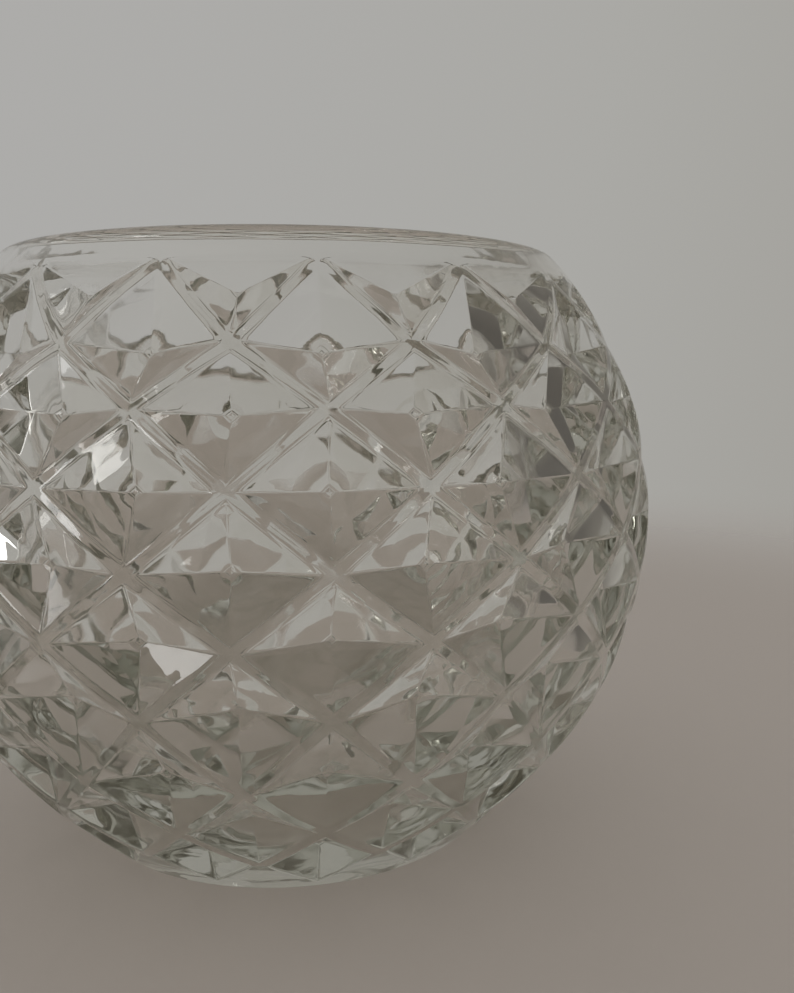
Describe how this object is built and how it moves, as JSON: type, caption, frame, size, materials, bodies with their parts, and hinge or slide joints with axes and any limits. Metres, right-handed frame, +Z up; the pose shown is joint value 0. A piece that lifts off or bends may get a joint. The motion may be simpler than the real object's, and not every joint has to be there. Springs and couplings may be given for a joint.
{
  "type": "rose bowl vase",
  "caption": "Round clear pressed-glass rose bowl: inward-curving body, plain rounded rim, crossed narrow ribs with sunk four-sided diamond pockets, smooth hollow, flat base.",
  "frame": {"origin": "middle of the flat base, on the surface that the bowl stands on", "axes": "+Z up along the bowl's axis through the mouth; -Y faces the picture's camera and +X is to its right"},
  "size_m": [0.1522, 0.1522, 0.117],
  "materials": {
    "clear_glass": "clear pressed soda-lime glass, glossy, very faint grey-green where it is thick"
  },
  "bodies": {
    "root": {"glass_bowl": "clear_glass"}
  },
  "joints": []
}
